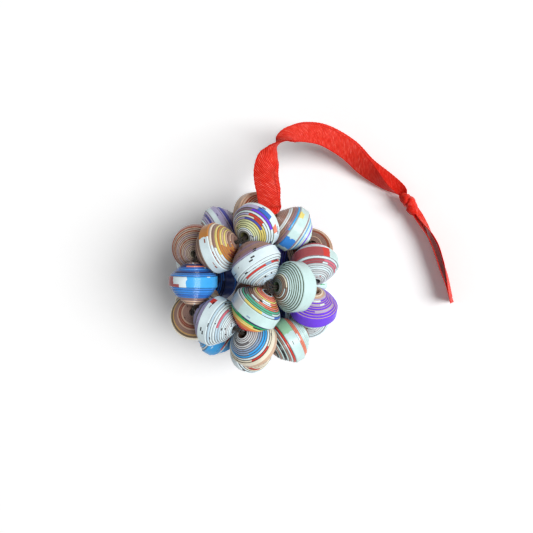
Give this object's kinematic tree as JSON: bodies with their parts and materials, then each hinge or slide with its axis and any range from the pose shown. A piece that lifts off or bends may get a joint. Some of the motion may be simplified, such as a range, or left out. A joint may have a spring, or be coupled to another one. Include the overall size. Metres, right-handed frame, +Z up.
{
  "type": "paper bead ball ornament",
  "caption": "Openwork ball ornament of rolled card beads strung edge to edge into a cage of pentagons, with a doubled satin ribbon loop to hang it by.",
  "frame": {"origin": "on the table under the centre of the ball, between the beads of the face it stands on", "axes": "+Z up through the middle of the top face, +X towards one corner of the top face, +Y towards the side the ribbon leaves on"},
  "size_m": [0.095, 0.088, 0.0564],
  "materials": {
    "card_white": "printed card, rolled and varnished",
    "card_blue": "printed card, rolled and varnished",
    "card_brown": "printed card, rolled and varnished",
    "card_cream": "printed card, rolled and varnished",
    "card_red": "printed card, rolled and varnished",
    "card_violet": "printed card, rolled and varnished",
    "thread": "dark twisted thread",
    "ribbon": "red woven satin"
  },
  "bodies": {
    "root": {"top_bead_1": "card_white", "top_bead_4": "card_white", "top_bead_5": "card_white", "upper_bead_1": "card_white", "belt_bead_2": "card_white", "belt_bead_5": "card_white", "belt_bead_9": "card_white", "lower_bead_5": "card_white", "bottom_bead_5": "card_white", "top_bead_3": "card_blue", "upper_bead_5": "card_blue", "belt_bead_7": "card_blue", "lower_bead_2": "card_blue", "lower_bead_3": "card_blue", "bottom_bead_1": "card_blue", "bottom_bead_2": "card_blue", "bottom_bead_4": "card_blue", "upper_bead_3": "card_brown", "upper_bead_4": "card_brown", "belt_bead_3": "card_brown", "belt_bead_6": "card_brown", "lower_bead_1": "card_brown", "bottom_bead_3": "card_brown", "top_bead_2": "card_cream", "upper_bead_2": "card_cream", "belt_bead_8": "card_cream", "belt_bead_1": "card_red", "belt_bead_4": "card_violet", "belt_bead_10": "card_violet", "lower_bead_4": "card_violet", "stringing_thread": "thread", "hanging_ribbon": "ribbon"}
  },
  "joints": []
}
